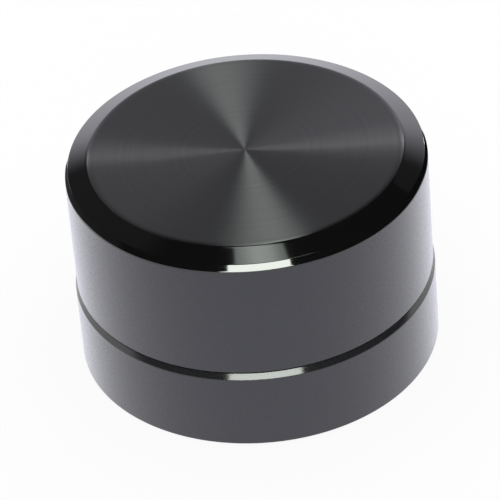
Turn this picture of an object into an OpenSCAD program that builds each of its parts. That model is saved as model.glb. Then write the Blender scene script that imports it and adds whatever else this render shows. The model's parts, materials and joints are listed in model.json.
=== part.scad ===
// Control knob, turned from one bar of aluminium, with the set screw that clamps it on its shaft.
// Millimetres. The origin is the centre of the foot, +Z runs up the shaft and +Y towards the set screw.

/* [Outside] */
// Diameter of the ring around the foot, the widest part
ring_d = 40; // [36:0.5:48]
// Height of the whole knob
height = 25; // [23:0.25:32]
// Height of the ring's lip above the foot
lip_h = 8.95; // [7:0.05:11]
// How far the lip stands out from the wall above it
lip_step = 0.2; // [0.1:0.05:0.6]
// Width of the bevel that runs from the lip up to the groove
lip_bevel_w = 0.3; // [0.1:0.05:0.4]
// Height of that bevel
lip_bevel_h = 0.75; // [0.4:0.05:1.2]
// Height of the groove between that bevel and the wall
groove_w = 0.2; // [0.1:0.05:0.4]
// Depth of the groove behind the top of that bevel
groove_depth = 0.2; // [0.1:0.05:0.4]
// Edge break around the foot
foot_break = 0.2; // [0.1:0.05:0.5]

/* [Top edge] */
// Width of the mirror-cut chamfer around the top face
chamfer_w = 2.3; // [1:0.1:4]
// Drop of that chamfer
chamfer_h = 0.82; // [0.4:0.02:1.6]
// Width of the thin bevel between the chamfer and the wall
edge_bevel_w = 0.36; // [0.2:0.02:0.8]
// Height of that thin bevel
edge_bevel_h = 0.82; // [0.4:0.02:1.4]
// Radius that eases the top face into the chamfer
top_blend_r = 2; // [0.5:0.1:3]
// Radius that eases the thin bevel into the wall
wall_blend_r = 0.8; // [0.3:0.1:1.5]

/* [Shaft hole] */
// Diameter of the shaft that the knob fits
shaft_d = 6; // [4:0.05:8]
// Clearance all round the shaft
shaft_clearance = 0.03; // [0.01:0.005:0.05]
// Depth of the hole above the recess
bore_depth = 14; // [12:0.25:15]
// Chamfer at the mouth of the hole
mouth_chamfer = 0.4; // [0.2:0.05:0.8]
// Angle of the drill point that ends the hole
drill_angle = 118; // [90:1:140]

/* [Nut recess] */
// Diameter of the recess that clears the nut and washer behind the knob
recess_d = 18; // [14:0.5:24]
// Depth of that recess
recess_h = 6; // [4.5:0.25:6.5]
// Edge break around the recess
recess_break = 0.3; // [0.1:0.05:0.6]

/* [Set screw] */
// Diameter of the screw over its thread
screw_d = 3; // [2:0.25:4]
// Length of the screw
screw_len = 8; // [6:0.25:12]
// Height of the screw's axis above the floor of the recess
screw_rise = 7; // [5.5:0.25:8]
// Clearance between the screw and its hole
screw_clearance = 0.05; // [0.02:0.01:0.1]
// Gap left between the screw's point and the shaft hole
point_gap = 0.15; // [0.05:0.05:0.5]
// Countersink at the mouth of the screw's hole
sink = 0.3; // [0.1:0.05:0.6]
// Size of the hex key across its flats
key_af = 1.5; // [0.9:0.1:1.8]
// Depth of the hex socket
key_depth = 2; // [1:0.25:3]
// Chamfer at the screw's outer end
screw_chamfer = 0.35; // [0.1:0.05:0.5]
// Diameter of the cup's rim at the screw's point
cup_d = 1.4; // [0.8:0.1:1.8]
// Angle inside the cup
cup_angle = 110; // [90:1:130]

/* [Hidden] */
$fn = 96;

// How far a cut runs past the face that it opens
over = 1;
// Straight steps that draw one blend
blend_steps = 4;

ring_r = ring_d / 2;
wall_r = ring_r - lip_step;
bevel_r = ring_r - lip_bevel_w;
bevel_top = lip_h + lip_bevel_h;
groove_r = bevel_r - groove_depth;
groove_top = bevel_top + groove_w;
edge_r = wall_r - edge_bevel_w;
edge_z = height - chamfer_h;
wall_top = edge_z - edge_bevel_h;
top_r = edge_r - chamfer_w;
bore_r = shaft_d / 2 + shaft_clearance;
bore_top = recess_h + bore_depth;
screw_r = screw_d / 2;
screw_hole_r = screw_r + screw_clearance;
screw_z = recess_h + screw_rise;
point_y = bore_r + point_gap;
// A six-sided cylinder is sized across its corners
key_r = key_af / 2 / cos(30);

// Direction from one point of an outline to another
function unit(from, to) = (to - from) / norm(to - from);

// Points of an arc of radius r that eases one corner of an outline, between the corners before and after it
function blend(before, corner, after, r) =
    let (
        u = unit(corner, before),
        v = unit(corner, after),
        half = acos(u * v) / 2,
        centre = corner + unit([0, 0], u + v) * r / sin(half),
        start = corner + u * r / tan(half) - centre,
        end = corner + v * r / tan(half) - centre,
        turn = 180 - 2 * half,
        way = sign(start[0] * end[1] - start[1] * end[0])
    )
    [
        for (i = [0 : blend_steps])
            let (a = way * turn * i / blend_steps)
            centre + [start[0] * cos(a) - start[1] * sin(a), start[0] * sin(a) + start[1] * cos(a)]
    ];

// Half section of the outside, from the foot up to the middle of the top face
function outside() =
    let (
        wall_low = [wall_r, groove_top],
        wall_high = [wall_r, wall_top],
        edge = [edge_r, edge_z],
        top_edge = [top_r, height],
        middle = [0, height]
    )
    concat(
        [
            [0, 0],
            [ring_r - foot_break, 0],
            [ring_r, foot_break],
            [ring_r, lip_h],
            [bevel_r, bevel_top],
            [groove_r, bevel_top],
            [groove_r, groove_top],
            wall_low
        ],
        blend(wall_low, wall_high, edge, wall_blend_r),
        [edge],
        blend(edge, top_edge, middle, top_blend_r),
        [middle]
    );

// Lays a shape drawn up the Z axis along the set screw, with its foot on the shaft's axis
module along_screw() {
    translate([0, 0, screw_z])
        rotate([-90, 0, 0])
            children();
}

// A cone that breaks the edge of a round hole whose mouth is at height 0 and faces down
module edge_break(r, size) {
    translate([0, 0, -over])
        cylinder(h = over + size, r1 = r + size + over, r2 = r);
}

// Blind hole for the shaft, with its drill point and an eased mouth
module shaft_hole() {
    point_h = bore_r / tan(drill_angle / 2);
    translate([0, 0, recess_h - over])
        cylinder(h = over + bore_depth, r = bore_r);
    translate([0, 0, bore_top])
        cylinder(h = point_h, r1 = bore_r, r2 = 0);
    translate([0, 0, recess_h])
        edge_break(bore_r, mouth_chamfer);
}

// Room for the nut and washer that hold the control to its panel
module nut_recess() {
    translate([0, 0, -over])
        cylinder(h = over + recess_h, d = recess_d);
    edge_break(recess_d / 2, recess_break);
}

// Tapped hole from the wall to the shaft, drawn at the size over the thread
module screw_hole() {
    along_screw()
        cylinder(h = ring_r + over, r = screw_hole_r);
    along_screw()
        translate([0, 0, wall_r])
            mirror([0, 0, 1])
                edge_break(screw_hole_r, sink);
}

module knob_body() {
    color([0.1, 0.1, 0.11])
        difference() {
            rotate_extrude()
                polygon(outside());
            nut_recess();
            shaft_hole();
            screw_hole();
        }
}

// Half section of the set screw, from the floor of its cup up to its outer end
function screw_section() =
    let (cup_r = cup_d / 2, cup_depth = cup_r / tan(cup_angle / 2))
    [
        [0, cup_depth],
        [cup_r, 0],
        [screw_r, screw_r - cup_r],
        [screw_r, screw_len - screw_chamfer],
        [screw_r - screw_chamfer, screw_len],
        [0, screw_len]
    ];

module grub_screw() {
    color([0.2, 0.2, 0.21])
        along_screw()
            translate([0, 0, point_y])
                difference() {
                    rotate_extrude()
                        polygon(screw_section());
                    translate([0, 0, screw_len - key_depth])
                        cylinder(h = key_depth + over, r = key_r, $fn = 6);
                }
}

knob_body();
grub_screw();
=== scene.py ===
import json
import math

import bpy
from mathutils import Matrix, Vector


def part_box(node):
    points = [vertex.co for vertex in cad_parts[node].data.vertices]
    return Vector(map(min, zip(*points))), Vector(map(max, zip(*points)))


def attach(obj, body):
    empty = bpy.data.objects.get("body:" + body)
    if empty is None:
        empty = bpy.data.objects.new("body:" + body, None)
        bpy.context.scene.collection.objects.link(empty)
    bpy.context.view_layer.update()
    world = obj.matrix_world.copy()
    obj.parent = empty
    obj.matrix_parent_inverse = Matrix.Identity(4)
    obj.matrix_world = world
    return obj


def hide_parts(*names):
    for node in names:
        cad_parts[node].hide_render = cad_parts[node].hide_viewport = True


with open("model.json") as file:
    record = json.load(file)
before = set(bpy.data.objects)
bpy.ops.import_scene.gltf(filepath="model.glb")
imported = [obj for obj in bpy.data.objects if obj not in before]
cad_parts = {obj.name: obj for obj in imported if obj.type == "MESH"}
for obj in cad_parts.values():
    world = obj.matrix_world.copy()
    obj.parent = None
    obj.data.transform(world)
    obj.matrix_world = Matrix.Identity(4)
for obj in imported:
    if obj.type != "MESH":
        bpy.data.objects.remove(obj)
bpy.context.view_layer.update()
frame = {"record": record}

# The knob body
# One turned piece of aluminium, anodised black. The top is spun, the chamfer and both bevels are fine-cut,
# and the walls are satin. Underneath are the nut recess and the blind shaft hole, and a tapped hole for the
# set screw runs in at the back.

MM = 0.001
_, body_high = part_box("knob_body")
screw_low, screw_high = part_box("grub_screw")
shaft_mount = next(m for m in frame["record"]["mounts"] if m["name"] == "shaft_bore")

lip_h = 8.95 * MM
lip_step = 0.2 * MM
lip_bevel_w = 0.3 * MM
lip_bevel_h = 0.75 * MM
groove_w = 0.2 * MM
groove_depth = 0.2 * MM
edge_bevel_w = 0.36 * MM
edge_bevel_h = 0.82 * MM
chamfer_w = 2.3 * MM
chamfer_h = 0.82 * MM
foot_break = 0.2 * MM
recess_r = 9 * MM
recess_h = 6 * MM
recess_break = 0.3 * MM
bore_depth = 14 * MM
mouth_chamfer = 0.4 * MM
drill_angle = math.radians(118)

ring_r = body_high.x
height = body_high.z
wall_r = ring_r - lip_step
bevel_r = ring_r - lip_bevel_w
bevel_top = lip_h + lip_bevel_h
groove_r = bevel_r - groove_depth
groove_top = bevel_top + groove_w
edge_r = wall_r - edge_bevel_w
edge_h = height - chamfer_h
wall_top = edge_h - edge_bevel_h
top_r = edge_r - chamfer_w
bore_r = shaft_mount["dims"]["r_mm"] * MM
bore_top = recess_h + bore_depth
drill_point_h = bore_r / math.tan(drill_angle / 2)

screw_r = screw_high.x
screw_z = (screw_low.z + screw_high.z) / 2
thread_pitch = 0.5 * MM
thread_depth = 0.27 * MM
thread_clearance = 0.05 * MM
thread_row = 0.05 * MM
sink = 0.3 * MM

# Radii that ease the edges, from the broad blends of the outside to the touch of a file.
top_ease = 2 * MM
wall_ease = 0.8 * MM
lip_ease = 0.4 * MM
recess_ease = 0.2 * MM
fine_ease = 0.05 * MM
groove_ease = 0.03 * MM
lip_top_ease = 0.02 * MM

# Half section from the middle of the top face round to the drill point: radius, height and easing.
section_corners = [
    (0, height, 0),
    (top_r, height, top_ease),
    (edge_r, edge_h, fine_ease),
    (wall_r, wall_top, wall_ease),
    (wall_r, groove_top, groove_ease),
    (groove_r, groove_top, 0),
    (groove_r, bevel_top, 0),
    (bevel_r, bevel_top, lip_top_ease),
    (ring_r, lip_h, lip_ease),
    (ring_r, foot_break, fine_ease),
    (ring_r - foot_break, 0, fine_ease),
    (recess_r + recess_break, 0, fine_ease),
    (recess_r, recess_break, fine_ease),
    (recess_r, recess_h, recess_ease),
    (bore_r + mouth_chamfer, recess_h, fine_ease),
    (bore_r, recess_h + mouth_chamfer, fine_ease),
    (bore_r, bore_top, fine_ease),
    (0, bore_top + drill_point_h, 0),
]
EASE_STEPS = 6
# Points close to each eased edge keep the faces beside it shaded flat.
HOLD = 0.03 * MM


def eased(corners):
    """Points along an outline with rounded corners, and a holding point on each side of a rounding."""
    points = [Vector(corners[0][:2])]
    for (bx, by, _), (cx, cy, radius), (ax, ay, _) in zip(corners, corners[1:], corners[2:]):
        corner = Vector((cx, cy))
        if radius == 0:
            points.append(corner)
            continue
        back = (Vector((bx, by)) - corner).normalized()
        ahead = (Vector((ax, ay)) - corner).normalized()
        half = back.angle(ahead) / 2
        reach = radius / math.tan(half)
        centre = corner + (back + ahead).normalized() * radius / math.sin(half)
        start = corner + back * reach - centre
        turn = start.angle_signed(corner + ahead * reach - centre)
        points.append(centre + start + back * HOLD)
        for step in range(EASE_STEPS + 1):
            points.append(centre + Matrix.Rotation(-turn * step / EASE_STEPS, 2) @ start)
        points.append(corner + ahead * (reach + HOLD))
    points.append(Vector(corners[-1][:2]))
    return points


def node(tree, kind, inputs=None, **settings):
    """Adds a node with its settings. Each input takes a value, or another node's socket to link."""
    made = tree.nodes.new(kind)
    for name, value in settings.items():
        setattr(made, name, value)
    for name, value in (inputs or {}).items():
        if isinstance(value, bpy.types.NodeSocket):
            tree.links.new(value, made.inputs[name])
        else:
            made.inputs[name].default_value = value
    return made


def tree_with(name, sizes):
    """A geometry tree that takes a mesh, and named sizes, and gives one mesh back."""
    tree = bpy.data.node_groups.new(name, "GeometryNodeTree")
    tree.interface.new_socket("Mesh", in_out="INPUT", socket_type="NodeSocketGeometry")
    for label, kind in sizes.items():
        tree.interface.new_socket(label, in_out="INPUT", socket_type=kind)
    tree.interface.new_socket("Mesh", in_out="OUTPUT", socket_type="NodeSocketGeometry")
    return tree, node(tree, "NodeGroupInput").outputs


def shaped(name, tree, start, sizes):
    """The plain object that a tree makes from a starting mesh."""
    piece = bpy.data.objects.new(name, start)
    bpy.context.scene.collection.objects.link(piece)
    modifier = piece.modifiers.new("shape", "NODES")
    modifier.node_group = tree
    for socket in tree.interface.items_tree:
        if socket.in_out == "INPUT" and socket.name in sizes:
            modifier[socket.identifier] = sizes[socket.name]
    made = piece.evaluated_get(bpy.context.evaluated_depsgraph_get())
    piece.data = bpy.data.meshes.new_from_object(made)
    piece.modifiers.clear()
    # A primitive in a tree brings an empty material slot along.
    for index, material in reversed(list(enumerate(piece.data.materials))):
        if material is None:
            piece.data.materials.pop(index=index)
    return piece


# The thread: a rod whose radius follows a helix, flat on its crests and roots.
thread, size = tree_with("cut_thread", {
    "Rows": "NodeSocketInt",
    "Steps round": "NodeSocketInt",
    "Low": "NodeSocketFloat",
    "High": "NodeSocketFloat",
    "Crest radius": "NodeSocketFloat",
    "Depth": "NodeSocketFloat",
    "Pitch": "NodeSocketFloat",
    "Low end radius": "NodeSocketFloat",
    "High end radius": "NodeSocketFloat",
    "Mouth": "NodeSocketFloat",
    "Axis height": "NodeSocketFloat",
    "Material": "NodeSocketMaterial",
})
length = node(thread, "ShaderNodeMath", {0: size["High"], 1: size["Low"]}, operation="SUBTRACT")
rod = node(thread, "GeometryNodeMeshCylinder", {
    "Vertices": size["Steps round"],
    "Side Segments": size["Rows"],
    "Radius": 1.0,
    "Depth": length.outputs[0],
}, fill_type="TRIANGLE_FAN")
middle = node(thread, "ShaderNodeMath", {0: size["High"], 1: size["Low"]}, operation="ADD")
middle = node(thread, "ShaderNodeMath", {0: middle.outputs[0], 1: 0.5}, operation="MULTIPLY")
position = node(thread, "GeometryNodeInputPosition").outputs[0]
place = node(thread, "ShaderNodeSeparateXYZ", {0: position}).outputs
along = node(thread, "ShaderNodeMath", {0: place["Z"], 1: middle.outputs[0]}, operation="ADD").outputs[0]
turned = node(thread, "ShaderNodeMath", {0: place["Y"], 1: place["X"]}, operation="ARCTAN2")
turned = node(thread, "ShaderNodeMath", {0: turned.outputs[0], 1: math.tau}, operation="DIVIDE")
pitches = node(thread, "ShaderNodeMath", {0: along, 1: size["Pitch"]}, operation="DIVIDE")
phase = node(thread, "ShaderNodeMath", {0: pitches.outputs[0], 1: turned.outputs[0]}, operation="SUBTRACT")
# From root to crest is half a pitch. Each is flat for this share of a pitch to both sides of its middle.
HALF_PITCH = 0.5
FLAT_SHARE = 0.06
wave = node(thread, "ShaderNodeMath", {0: phase.outputs[0], 1: HALF_PITCH}, operation="PINGPONG")
root = node(thread, "ShaderNodeMath", {0: size["Crest radius"], 1: size["Depth"]}, operation="SUBTRACT")
flank = node(thread, "ShaderNodeMapRange", {
    "Value": wave.outputs[0],
    "From Min": FLAT_SHARE,
    "From Max": HALF_PITCH - FLAT_SHARE,
    "To Min": root.outputs[0],
    "To Max": size["Crest radius"],
})
# The two ends are cones, and past the mouth the rod widens into a countersink.
from_low = node(thread, "ShaderNodeMath", {0: along, 1: size["Low"]}, operation="SUBTRACT")
from_high = node(thread, "ShaderNodeMath", {0: size["High"], 1: along}, operation="SUBTRACT")
low_cone = node(thread, "ShaderNodeMath", {
    0: from_low.outputs[0],
    1: size["Low end radius"],
}, operation="ADD")
high_cone = node(thread, "ShaderNodeMath", {
    0: from_high.outputs[0],
    1: size["High end radius"],
}, operation="ADD")
ends = node(thread, "ShaderNodeMath", {
    0: low_cone.outputs[0],
    1: high_cone.outputs[0],
}, operation="MINIMUM")
cut = node(thread, "ShaderNodeMath", {0: ends.outputs[0], 1: flank.outputs[0]}, operation="MINIMUM")
past_mouth = node(thread, "ShaderNodeMath", {0: along, 1: size["Mouth"]}, operation="SUBTRACT")
sunk = node(thread, "ShaderNodeMath", {
    0: past_mouth.outputs[0],
    1: size["Crest radius"],
}, operation="ADD")
reach = node(thread, "ShaderNodeMath", {0: cut.outputs[0], 1: sunk.outputs[0]}, operation="MAXIMUM")
across_x = node(thread, "ShaderNodeMath", {0: place["X"], 1: reach.outputs[0]}, operation="MULTIPLY")
across_y = node(thread, "ShaderNodeMath", {0: place["Y"], 1: reach.outputs[0]}, operation="MULTIPLY")
# The rod is drawn up Z and laid along Y: its own Y then points down.
down = node(thread, "ShaderNodeMath", {
    0: size["Axis height"],
    1: across_y.outputs[0],
}, operation="SUBTRACT")
spot = node(thread, "ShaderNodeCombineXYZ", {"X": across_x.outputs[0], "Y": along, "Z": down.outputs[0]})
laid = node(thread, "GeometryNodeSetPosition", {
    "Geometry": rod.outputs["Mesh"],
    "Position": spot.outputs[0],
})
laid = node(thread, "GeometryNodeRealizeInstances", {"Geometry": laid.outputs[0]})
laid = node(thread, "GeometryNodeSetMaterial", {"Geometry": laid.outputs[0], "Material": size["Material"]})
node(thread, "NodeGroupOutput", {"Mesh": laid.outputs[0]})

# The lathe: sweeps the half section round the shaft's axis, closes both poles and drills the tapped hole.
lathe, size = tree_with("turn_on_lathe", {
    "Steps round": "NodeSocketInt",
    "Sweep radius": "NodeSocketFloat",
    "Weld": "NodeSocketFloat",
    "Tap": "NodeSocketObject",
    "Material": "NodeSocketMaterial",
})
section = node(lathe, "GeometryNodeMeshToCurve", {"Mesh": size["Mesh"]})
circle = node(lathe, "GeometryNodeCurvePrimitiveCircle", {
    "Resolution": size["Steps round"],
    "Radius": size["Sweep radius"],
})
swept = node(lathe, "GeometryNodeCurveToMesh", {
    "Curve": circle.outputs["Curve"],
    "Profile Curve": section.outputs["Curve"],
})
closed = node(lathe, "GeometryNodeMergeByDistance", {
    "Geometry": swept.outputs["Mesh"],
    "Distance": size["Weld"],
})
closed = node(lathe, "GeometryNodeSetMaterial", {
    "Geometry": closed.outputs[0],
    "Material": size["Material"],
})
tap = node(lathe, "GeometryNodeObjectInfo", {"Object": size["Tap"]})
drilled = node(lathe, "GeometryNodeMeshBoolean", {
    "Mesh 1": closed.outputs["Geometry"],
    "Mesh 2": tap.outputs["Geometry"],
}, operation="DIFFERENCE", solver="EXACT")
whole = node(lathe, "GeometryNodeRealizeInstances", {"Geometry": drilled.outputs["Mesh"]})
whole = node(lathe, "GeometryNodeSetMaterial", {"Geometry": whole.outputs[0], "Material": size["Material"]})
node(lathe, "NodeGroupOutput", {"Mesh": whole.outputs[0]})


def linear(colour):
    """An sRGB hex colour as linear red, green, blue and alpha."""
    parts = [int(colour[i:i + 2], 16) / 255 for i in (1, 3, 5)]
    return [c / 12.92 if c <= 0.04045 else ((c + 0.055) / 1.055) ** 2.4 for c in parts] + [1]


def finish_named(name, **inputs):
    """A material with one Principled shader, whose plain inputs are set on its own sockets."""
    material = bpy.data.materials.new(name)
    material.use_nodes = True
    tree = material.node_tree
    tree.nodes.clear()
    shader = node(tree, "ShaderNodeBsdfPrincipled", inputs)
    node(tree, "ShaderNodeOutputMaterial", {"Surface": shader.outputs[0]})
    return material, tree, shader


# Satin black anodising on blasted walls: a dyed oxide film under a clear sealed one, both softly rough. The
# dye leaves a slight violet cast, and the fine grain brightens towards the sides.
satin, tree, shader = finish_named("satin_black_anodised_aluminium", **{
    "IOR": 1.45,
    "Specular Tint": linear("#dee0ff"),
    "Coat Weight": 1.0,
    "Coat IOR": 1.45,
    "Coat Roughness": 0.28,
    "Sheen Weight": 0.6,
    "Sheen Roughness": 0.36,
    "Sheen Tint": linear("#e4e4ff"),
})
position = node(tree, "ShaderNodeTexCoord").outputs["Object"]
# The blast leaves dimples of 0.05 mm. They are drawn 0.15 mm wide, so that they show.
grain = node(tree, "ShaderNodeTexNoise", {
    "Vector": position,
    "Scale": 1 / (0.15 * MM),
    "Detail": 2.0,
}).outputs["Fac"]
gloss = node(tree, "ShaderNodeMapRange", {"Value": grain, "To Min": 0.22, "To Max": 0.34}).outputs[0]
tree.links.new(gloss, shader.inputs["Roughness"])
dimples = node(tree, "ShaderNodeBump", {"Height": grain, "Strength": 0.1, "Distance": 0.01 * MM}).outputs[0]
tree.links.new(dimples, shader.inputs["Normal"])
# The dye takes a little unevenly, in soft patches about 4 mm across.
dye = node(tree, "ShaderNodeTexNoise", {
    "Vector": position,
    "Scale": 1 / (4 * MM),
    "Detail": 4.0,
}).outputs["Fac"]
# A colour Mix takes its factor at input 0 and its two colours at 6 and 7, and gives the result at output 2.
tone = node(tree, "ShaderNodeMix", {0: dye, 6: linear("#08080b"), 7: linear("#0d0d12")}, data_type="RGBA")
tree.links.new(tone.outputs[2], shader.inputs["Base Color"])


def level_position(tree):
    """Object coordinates pressed flat: which way a point lies from the shaft's axis, and how far."""
    position = node(tree, "ShaderNodeTexCoord").outputs["Object"]
    return node(tree, "ShaderNodeVectorMath", {0: position, 1: (1, 1, 0)}, operation="MULTIPLY").outputs[0]


def ring_noise(tree, spacing):
    """A noise that changes only with the distance from the shaft's axis, as the marks of a lathe do."""
    level = level_position(tree)
    out = node(tree, "ShaderNodeVectorMath", {0: level}, operation="LENGTH").outputs["Value"]
    return node(tree, "ShaderNodeTexNoise", {
        "W": out,
        "Scale": 1 / spacing,
        "Detail": 4.0,
    }, noise_dimensions="1D").outputs["Fac"]


# Mirror-cut facets: a diamond tool leaves marks that hardly show, so the black film reflects sharply.
mirror, tree, shader = finish_named("mirror_cut_black_anodised_aluminium", **{
    "Base Color": linear("#0d0d0d"),
    "IOR": 1.5,
    "Specular Tint": linear("#fafaff"),
    "Coat Weight": 1.0,
    "Coat IOR": 1.5,
    "Coat Roughness": 0.05,
})
# The diamond's feed is about 0.01 mm, and its rings are drawn 0.15 mm apart, so that they show.
rings = ring_noise(tree, 0.15 * MM)
gloss = node(tree, "ShaderNodeMapRange", {"Value": rings, "To Min": 0.03, "To Max": 0.09}).outputs[0]
tree.links.new(gloss, shader.inputs["Roughness"])

# The ring's lip: cut like the facets above but left duller and a shade greyer, with less of a clear film.
lip_cut, tree, shader = finish_named("fine_cut_black_anodised_aluminium", **{
    "Base Color": linear("#212123"),
    "IOR": 1.5,
    "Specular Tint": linear("#fafaff"),
    "Coat Weight": 0.32,
    "Coat IOR": 1.5,
    "Coat Roughness": 0.1,
})
# The tool's feed is about 0.02 mm here, and its rings are drawn 0.1 mm apart.
rings = ring_noise(tree, 0.1 * MM)
gloss = node(tree, "ShaderNodeMapRange", {"Value": rings, "To Min": 0.06, "To Max": 0.14}).outputs[0]
tree.links.new(gloss, shader.inputs["Roughness"])

# Spun top: the metal's fine rings, seen through the dyed film, spread the light along each radius and give
# the bright double fan. At a slant the film lets less light through, so the edge tint is dark.
spun, tree, shader = finish_named("spun_black_anodised_aluminium", **{
    "Metallic": 1.0,
    "Specular Tint": linear("#6e6e6e"),
    "Anisotropic": 1.0,
})
# The rings are 0.02 mm apart. They are drawn in groups 0.5 mm wide that differ a little in gloss and dye.
rings = ring_noise(tree, 0.5 * MM)
gloss = node(tree, "ShaderNodeMapRange", {"Value": rings, "To Min": 0.283, "To Max": 0.343}).outputs[0]
tree.links.new(gloss, shader.inputs["Roughness"])
tone = node(tree, "ShaderNodeMix", {0: rings, 6: linear("#959596"), 7: linear("#a1a1a2")}, data_type="RGBA")
tree.links.new(tone.outputs[2], shader.inputs["Base Color"])
radial = node(tree, "ShaderNodeVectorMath", {0: level_position(tree)}, operation="NORMALIZE").outputs[0]
tree.links.new(radial, shader.inputs["Tangent"])
# Each ring leans outwards a little, as the feed of the tool leaves it, so the far half is lit more than the
# near half.
lean = node(tree, "ShaderNodeVectorMath", {0: radial, "Scale": 0.017}, operation="SCALE").outputs[0]
plain = node(tree, "ShaderNodeNewGeometry").outputs["Normal"]
facet = node(tree, "ShaderNodeVectorMath", {0: plain, 1: lean}, operation="ADD").outputs[0]
facet = node(tree, "ShaderNodeVectorMath", {0: facet}, operation="NORMALIZE").outputs[0]
tree.links.new(facet, shader.inputs["Normal"])

TURN_STEPS = 256
THREAD_STEPS = 32
TAP_ROWS = 390
# The tap starts inside the shaft hole, this many rows before the screw's point. Its rows fall on the screw's
# rows, so that the two threads stay apart all the way.
TAP_LEAD_ROWS = 34
tap_low = screw_low.y - TAP_LEAD_ROWS * thread_row
tap = shaped("tap", thread, bpy.data.meshes.new("tap"), {
    "Rows": TAP_ROWS,
    "Steps round": THREAD_STEPS,
    "Low": tap_low,
    "High": tap_low + TAP_ROWS * thread_row,
    "Crest radius": screw_r + thread_clearance,
    "Depth": thread_depth,
    "Pitch": thread_pitch,
    "Low end radius": ring_r,
    "High end radius": ring_r,
    "Mouth": wall_r - sink,
    "Axis height": screw_z,
    "Material": satin,
})
# The sweep carries the section on a circle at the wall, and draws the section's second axis downwards.
outline = [Vector((p.x - wall_r, -p.y, 0)) for p in eased(section_corners)]
half_section = bpy.data.meshes.new("half_section")
half_section.from_pydata(outline, [(i, i + 1) for i in range(len(outline) - 1)], [])
knob = shaped("turned_knob", lathe, half_section, {
    "Steps round": TURN_STEPS,
    "Sweep radius": wall_r,
    "Weld": 0.001 * MM,
    "Tap": tap,
    "Material": satin,
})
bpy.data.objects.remove(tap)
for finish in (mirror, spun, lip_cut):
    knob.data.materials.append(finish)
# Level faces above and below are spun, and slopes outside the top face are cut. The rest keeps its satin.
MIRROR, SPUN, LIP = 1, 2, 3
SPUN_UP = 0.968
SPUN_DOWN = -0.97
CUT_UP = 0.15
for face in knob.data.polygons:
    up = face.normal.z
    out = Vector(face.center[:2]).length
    if up > SPUN_UP and face.center.z > edge_h or up < SPUN_DOWN:
        face.material_index = SPUN
    elif out > top_r and up > CUT_UP:
        face.material_index = MIRROR if face.center.z > wall_top else LIP
knob.data.shade_smooth()
knob.data.set_sharp_from_angle(angle=math.radians(15))
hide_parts("knob_body")
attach(knob, "root")

# The grub screw
# A headless set screw of blackened steel, with a cut thread, a hex socket at its outer end and a cup at its
# point. It is screwed in from the back, and its cup bites on the shaft.

key_af = 1.5 * MM
key_r = key_af / 2 / math.cos(math.radians(30))
key_depth = 2 * MM
point_r = 0.7 * MM
cup_rim = 0.02 * MM
cup_angle = math.radians(110)
cup_r = point_r - cup_rim
cup_depth = cup_r / math.tan(cup_angle / 2)
screw_chamfer = 0.35 * MM

# Black oxide on cut steel: a thin film that keeps the metal's gloss but turns it near black, and is patchy
# where oil dried.
black_oxide, tree, shader = finish_named("black_oxide_steel", **{
    "Metallic": 1.0,
    "Roughness": 0.36,
})
position = node(tree, "ShaderNodeTexCoord").outputs["Object"]
patches = node(tree, "ShaderNodeTexNoise", {"Vector": position, "Scale": 1 / (0.6 * MM), "Detail": 3.0})
tone = node(tree, "ShaderNodeMix", {
    0: patches.outputs["Fac"],
    6: linear("#26262a"),
    7: linear("#3c3b3d"),
}, data_type="RGBA")
tree.links.new(tone.outputs[2], shader.inputs["Base Color"])

# The broach and the cup drill: a hex prism cut in at the outer end, and a cone at the point.
broach, size = tree_with("broach_and_cup", {
    "Key radius": "NodeSocketFloat",
    "Key depth": "NodeSocketFloat",
    "Outer end": "NodeSocketFloat",
    "Cup radius": "NodeSocketFloat",
    "Cup depth": "NodeSocketFloat",
    "Point": "NodeSocketFloat",
    "Axis height": "NodeSocketFloat",
    "Material": "NodeSocketMaterial",
})
# Each cutter is centred on the screw's end and twice as long as its cut, so half of it reaches in.
twice = node(broach, "ShaderNodeMath", {0: size["Key depth"], 1: 2.0}, operation="MULTIPLY")
key = node(broach, "GeometryNodeMeshCylinder", {
    "Vertices": 6,
    "Radius": size["Key radius"],
    "Depth": twice.outputs[0],
})
key_place = node(broach, "ShaderNodeCombineXYZ", {"Y": size["Outer end"], "Z": size["Axis height"]})
wide = node(broach, "ShaderNodeMath", {0: size["Cup radius"], 1: 2.0}, operation="MULTIPLY")
deep = node(broach, "ShaderNodeMath", {0: size["Cup depth"], 1: 2.0}, operation="MULTIPLY")
cone = node(broach, "GeometryNodeMeshCone", {
    "Vertices": THREAD_STEPS,
    "Radius Top": 0.0,
    "Radius Bottom": wide.outputs[0],
    "Depth": deep.outputs[0],
})
# The cone's base is out in front of the point by as much as its tip reaches in.
ahead = node(broach, "ShaderNodeMath", {0: size["Point"], 1: size["Cup depth"]}, operation="SUBTRACT")
cone_place = node(broach, "ShaderNodeCombineXYZ", {"Y": ahead.outputs[0], "Z": size["Axis height"]})
cutters = node(broach, "GeometryNodeJoinGeometry")
for cutter, spot in ((key, key_place), (cone, cone_place)):
    laid = node(broach, "GeometryNodeTransform", {
        "Geometry": cutter.outputs["Mesh"],
        "Translation": spot.outputs[0],
        "Rotation": (-math.pi / 2, 0, 0),
    })
    laid = node(broach, "GeometryNodeSetMaterial", {
        "Geometry": laid.outputs[0],
        "Material": size["Material"],
    })
    broach.links.new(laid.outputs[0], cutters.inputs[0])
blank = node(broach, "GeometryNodeSetMaterial", {"Geometry": size["Mesh"], "Material": size["Material"]})
cut = node(broach, "GeometryNodeMeshBoolean", {
    "Mesh 1": blank.outputs[0],
    "Mesh 2": cutters.outputs[0],
}, operation="DIFFERENCE", solver="EXACT")
whole = node(broach, "GeometryNodeRealizeInstances", {"Geometry": cut.outputs["Mesh"]})
whole = node(broach, "GeometryNodeSetMaterial", {
    "Geometry": whole.outputs[0],
    "Material": size["Material"],
})
node(broach, "NodeGroupOutput", {"Mesh": whole.outputs[0]})

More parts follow.
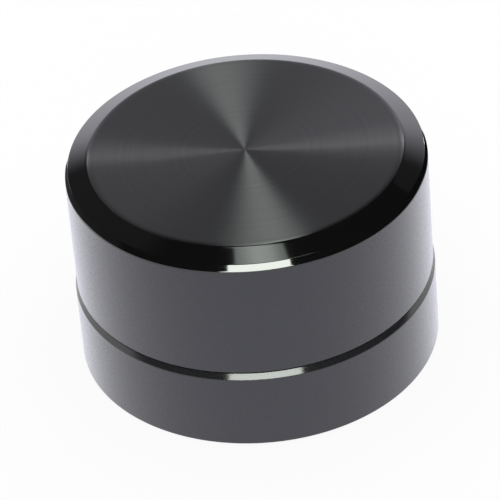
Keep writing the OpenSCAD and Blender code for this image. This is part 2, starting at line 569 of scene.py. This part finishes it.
rod = shaped("rod", thread, bpy.data.meshes.new("rod"), {
    "Rows": round((screw_high.y - screw_low.y) / thread_row),
    "Steps round": THREAD_STEPS,
    "Low": screw_low.y,
    "High": screw_high.y,
    "Crest radius": screw_r,
    "Depth": thread_depth,
    "Pitch": thread_pitch,
    "Low end radius": point_r,
    "High end radius": screw_r - screw_chamfer,
    "Mouth": ring_r + screw_r,
    "Axis height": screw_z,
    "Material": black_oxide,
})
screw = shaped("set_screw", broach, rod.data, {
    "Key radius": key_r,
    "Key depth": key_depth,
    "Outer end": screw_high.y,
    "Cup radius": cup_r,
    "Cup depth": cup_depth,
    "Point": screw_low.y,
    "Axis height": screw_z,
    "Material": black_oxide,
})
bpy.data.objects.remove(rod)
screw.data.shade_smooth()
screw.data.set_sharp_from_angle(angle=math.radians(30))
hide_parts("grub_screw")
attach(screw, "root")

# The floor
# A sheet of white paper under the knob, on a wider pale bench. The sheet shows white to the eye and in the
# reflections, and both take the shadow. The bench stays out of the reflections, as black cards laid around
# the sheet would do.

# The share of plain white that the eye sees. The rest is lit paper, which keeps the shadow.
EYE_WHITE = 0.9
paper = bpy.data.materials.new("white_paper")
paper.use_nodes = True
tree = paper.node_tree
tree.nodes.clear()
rays = node(tree, "ShaderNodeLightPath").outputs
mirrored = node(tree, "ShaderNodeMath", {
    0: rays["Is Glossy Ray"],
    1: rays["Is Transmission Ray"],
}, operation="ADD")
seen = node(tree, "ShaderNodeMath", {
    0: rays["Is Camera Ray"],
    1: EYE_WHITE,
    2: mirrored.outputs[0],
}, operation="MULTIPLY_ADD")
lit = node(tree, "ShaderNodeBsdfDiffuse", {"Color": linear("#f4f4f4")})
white = node(tree, "ShaderNodeEmission", {"Color": linear("#ffffff"), "Strength": 1.0})
mixed = node(tree, "ShaderNodeMixShader", {0: seen.outputs[0], 1: lit.outputs[0], 2: white.outputs[0]})
node(tree, "ShaderNodeOutputMaterial", {"Surface": mixed.outputs[0]})

# How far the sheet reaches from the shaft's axis, and the bench's radius and drop, in metres.
SHEET_R = 0.053
SHEET_BACK = 0.03
SHEET_LEFT = 0.13
SHEET_RIGHT = 0.075
SHEET_FRONT = 0.4
BENCH_R = 0.9
BENCH_DROP = 0.1 * MM
ARC_STEPS = 96


def flat(name, corners):
    """A flat piece of paper on the stage, from the corners of its outline."""
    mesh = bpy.data.meshes.new(name)
    mesh.from_pydata(corners, [], [range(len(corners))])
    mesh.materials.append(paper)
    made = bpy.data.objects.new(name, mesh)
    bpy.context.scene.collection.objects.link(made)
    return made


def arc(radius, start, end, z):
    """Points of a level arc about the shaft's axis, between two angles from +X."""
    turns = [start + (end - start) * i / ARC_STEPS for i in range(ARC_STEPS + 1)]
    return [(radius * math.cos(a), radius * math.sin(a), z) for a in turns]


# The sheet is wide in front of the knob, and rounded off close behind it.
corner_angle = math.asin(SHEET_BACK / SHEET_R)
sheet_outline = [
    (-SHEET_LEFT, SHEET_BACK, 0),
    (-SHEET_LEFT, -SHEET_FRONT, 0),
    (SHEET_RIGHT, -SHEET_FRONT, 0),
    (SHEET_RIGHT, SHEET_BACK, 0),
] + arc(SHEET_R, corner_angle, math.pi - corner_angle, 0)
flat("sheet", sheet_outline)
bench = flat("bench", arc(BENCH_R, 0, math.tau, -BENCH_DROP)[:-1])
bench.visible_glossy = False

# The card
# A low white card that curves round behind the knob and fades to grey at its upper edge. It isn't in the
# picture: it is what the chamfer shows as black turning to grey, and what lifts the rear of the spun top.

CARD_R = 0.2
CARD_FADE = height + CARD_R * math.tan(math.radians(17.5))
CARD_TOP = height + CARD_R * math.tan(math.radians(34.4))
CARD_HALF = math.radians(52)
CARD_LEAN = math.radians(-10)
CARD_WHITE = 1.08
CARD_GREY = 0.05
CARD_STEPS = 64
# The fade comes down towards the sides by this much for each square metre of reach, like an arch.
CARD_ARCH = 1.7
card_finish = bpy.data.materials.new("graduated_white_card")
card_finish.use_nodes = True
tree = card_finish.node_tree
tree.nodes.clear()
position = node(tree, "ShaderNodeTexCoord").outputs["Object"]
place = node(tree, "ShaderNodeSeparateXYZ", {0: position}).outputs
side = node(tree, "ShaderNodeMath", {0: place["X"], 1: place["X"]}, operation="MULTIPLY")
up = node(tree, "ShaderNodeMath", {
    0: side.outputs[0],
    1: CARD_ARCH,
    2: place["Z"],
}, operation="MULTIPLY_ADD")
fade = node(tree, "ShaderNodeMapRange", {
    "Value": up.outputs[0],
    "From Min": CARD_FADE,
    "From Max": CARD_TOP,
    "To Min": CARD_WHITE,
    "To Max": CARD_GREY,
}, interpolation_type="SMOOTHSTEP")
white = node(tree, "ShaderNodeEmission", {"Color": linear("#f6f6ff"), "Strength": fade.outputs[0]})
node(tree, "ShaderNodeOutputMaterial", {"Surface": white.outputs[0]})
# Each step of the card has three points, at its foot, at the start of its fade and at its top.
corners = []
for i in range(CARD_STEPS + 1):
    a = math.pi / 2 + CARD_HALF * (2 * i / CARD_STEPS - 1)
    corners += [(CARD_R * math.cos(a), CARD_R * math.sin(a), z) for z in (0, CARD_FADE, CARD_TOP)]
faces = [(i, i + 1, i + 4, i + 3) for k in range(CARD_STEPS) for i in (3 * k, 3 * k + 1)]
card_mesh = bpy.data.meshes.new("card")
card_mesh.from_pydata(corners, [], faces)
card_mesh.materials.append(card_finish)
card = bpy.data.objects.new("card", card_mesh)
card.rotation_euler.y = CARD_LEAN
card.visible_camera = False
bpy.context.scene.collection.objects.link(card)

# The lamps
# A long soft box overhead that is brightest in its middle, an upright panel low in front, two narrow lamps
# behind at the sides, and a broad fill that lights the paper but stays out of the reflections.


def around(azimuth, elevation, distance):
    """A place about the knob's top. Azimuth 0 is in front, and 90 to the right."""
    a, e = math.radians(azimuth), math.radians(elevation)
    away = Vector((math.sin(a) * math.cos(e), -math.cos(a) * math.cos(e), math.sin(e)))
    return Vector((0, 0, height)) + away * distance


EVEN = [(0, 1), (1, 1)]


def soft_box(name, centre, along, size, level, shape=EVEN, colour="#ffffff", taper=(0, 0)):
    """A glowing panel that faces the knob's top. Its size is its width and its depth along a direction, its
    shape lists the brightness from its left edge, 0, to its right edge, 1, and its taper says how far the far
    end of each of these edges comes in."""
    width, depth = size
    glow = bpy.data.materials.new(name)
    glow.use_nodes = True
    tree = glow.node_tree
    tree.nodes.clear()
    position = node(tree, "ShaderNodeTexCoord").outputs["Object"]
    place = node(tree, "ShaderNodeSeparateXYZ", {0: position}).outputs
    share = node(tree, "ShaderNodeMapRange", {
        "Value": place["X"],
        "From Min": -width / 2,
        "From Max": width / 2,
    })
    ramp = node(tree, "ShaderNodeValToRGB", {0: share.outputs[0]})
    ramp.color_ramp.interpolation = "EASE"
    stops = ramp.color_ramp.elements
    while len(stops) < len(shape):
        stops.new(0.5)
    for stop, (at, part) in zip(stops, shape):
        stop.position = at
        stop.color = [c * part for c in linear(colour)[:3]] + [1]
    light = node(tree, "ShaderNodeEmission", {"Color": ramp.outputs["Color"], "Strength": level})
    node(tree, "ShaderNodeOutputMaterial", {"Surface": light.outputs[0]})
    x, y = width / 2, depth / 2
    outline = [(-x, -y, 0), (taper[0] - x, y, 0), (x - taper[1], y, 0), (x, -y, 0)]
    mesh = bpy.data.meshes.new(name)
    mesh.from_pydata(outline, [], [(0, 1, 2, 3)])
    mesh.materials.append(glow)
    box = bpy.data.objects.new(name, mesh)
    facing = (centre - Vector((0, 0, height))).normalized()
    across = along.cross(facing).normalized()
    turned = Matrix((across, facing.cross(across), facing)).transposed()
    box.matrix_world = Matrix.LocRotScale(centre, turned.to_quaternion(), None)
    box.visible_camera = False
    bpy.context.scene.collection.objects.link(box)


STRIP_YAW = math.radians(30)
STRIP_AT = Vector((0.108, -0.06, 0.525))
STRIP_SIZE = (0.092, 0.555)
STRIP_LEVEL = 3.25
STRIP_SHAPE = [(0, 0.55), (0.45, 1), (0.6, 0.95), (1, 0.45)]
strip_run = Vector((-math.sin(STRIP_YAW), math.cos(STRIP_YAW), 0))
soft_box("overhead_strip", STRIP_AT, strip_run, STRIP_SIZE, STRIP_LEVEL, STRIP_SHAPE, "#f6fff7")

UPRIGHT = Vector((0, 0, 1))
PANEL_AT = around(0.2, 5.9, 0.497)
PANEL_SIZE = (0.389, 0.103)
PANEL_LEVEL = 11.5
PANEL_TAPER = (0.071, 0.023)
soft_box("front_panel", PANEL_AT, UPRIGHT, PANEL_SIZE, PANEL_LEVEL, EVEN, "#fafff4", PANEL_TAPER)

RIM_ELEVATION = 8
RIM_DISTANCE = 0.185
RIM_DEPTH = 0.05
for name, azimuth, width, level in (
    ("right_rim_lamp", 139.5, 0.010, 19),
    ("left_rim_lamp", -144.4, 0.0105, 13),
):
    soft_box(name, around(azimuth, RIM_ELEVATION, RIM_DISTANCE), UPRIGHT, (width, RIM_DEPTH), level)

FILL_SIZE = 2.0
FILL_HEIGHT = 1.0
FILL_LEVEL = 1.5
fill_lamp = bpy.data.lights.new("fill", "AREA")
fill_lamp.size = FILL_SIZE
fill_lamp.energy = FILL_LEVEL * math.pi * FILL_SIZE ** 2
fill = bpy.data.objects.new("fill", fill_lamp)
fill.location = (0, 0, FILL_HEIGHT)
fill.visible_camera = False
fill.visible_glossy = False
bpy.context.scene.collection.objects.link(fill)

# The room is dim, and a little paler behind on the left, which the left of the chamfer shows. It turns pale
# between these two cosines of the angle from the pale side.
ROOM_DIM = 0.004
ROOM_PALE = 0.06
PALE_SIDE = (-0.6, 0.8, 0)
PALE_START = 0.42
PALE_END = 0.56
scene = bpy.context.scene
world = bpy.data.worlds.new("dim_room")
world.use_nodes = True
tree = world.node_tree
tree.nodes.clear()
rays = node(tree, "ShaderNodeLightPath").outputs
toward = node(tree, "ShaderNodeTexCoord").outputs["Generated"]
toward = node(tree, "ShaderNodeVectorMath", {0: toward, 1: PALE_SIDE}, operation="DOT_PRODUCT")
pale = node(tree, "ShaderNodeMapRange", {
    "Value": toward.outputs["Value"],
    "From Min": PALE_START,
    "From Max": PALE_END,
    "To Min": ROOM_DIM,
    "To Max": ROOM_PALE,
}, interpolation_type="SMOOTHSTEP")
room = node(tree, "ShaderNodeBackground", {"Color": linear("#f4f4f4"), "Strength": pale.outputs[0]})
blank = node(tree, "ShaderNodeBackground", {"Color": linear("#ffffff"), "Strength": 1.0})
mixed = node(tree, "ShaderNodeMixShader", {
    0: rays["Is Camera Ray"],
    1: room.outputs[0],
    2: blank.outputs[0],
})
node(tree, "ShaderNodeOutputWorld", {"Surface": mixed.outputs[0]})
scene.world = world

# The camera
# A long lens above and in front of the knob, turned a little so that the knob leans to the left. It is
# shifted so that AIM, a point on the knob's axis, falls on AXIS_PX in the picture.

PICTURE_PX = 500
AXIS_PX = (253.73, 250.22)
AIM = Vector((0, 0, 11.22 * MM))
VIEW_DISTANCE = 410.1 * MM
VIEW_ELEVATION = math.radians(37.157)
VIEW_LEAN = math.radians(4.929)
SENSOR_MM = 36
LENS_MM = 266.74

camera_data = bpy.data.cameras.new("camera")
camera_data.sensor_width = SENSOR_MM
camera_data.lens = LENS_MM
camera_data.shift_x = (PICTURE_PX / 2 - AXIS_PX[0]) / PICTURE_PX
camera_data.shift_y = (AXIS_PX[1] - PICTURE_PX / 2) / PICTURE_PX
camera_data.clip_start = 10 * MM
back = Vector((0, -math.cos(VIEW_ELEVATION), math.sin(VIEW_ELEVATION)))
camera = bpy.data.objects.new("camera", camera_data)
camera.location = AIM + back * VIEW_DISTANCE
camera.rotation_mode = "QUATERNION"
lean = Matrix.Rotation(-VIEW_LEAN, 3, "Z").to_quaternion()
camera.rotation_quaternion = (-back).to_track_quat("-Z", "Y") @ lean
scene.collection.objects.link(camera)
scene.camera = camera

scene.view_settings.view_transform = "Standard"
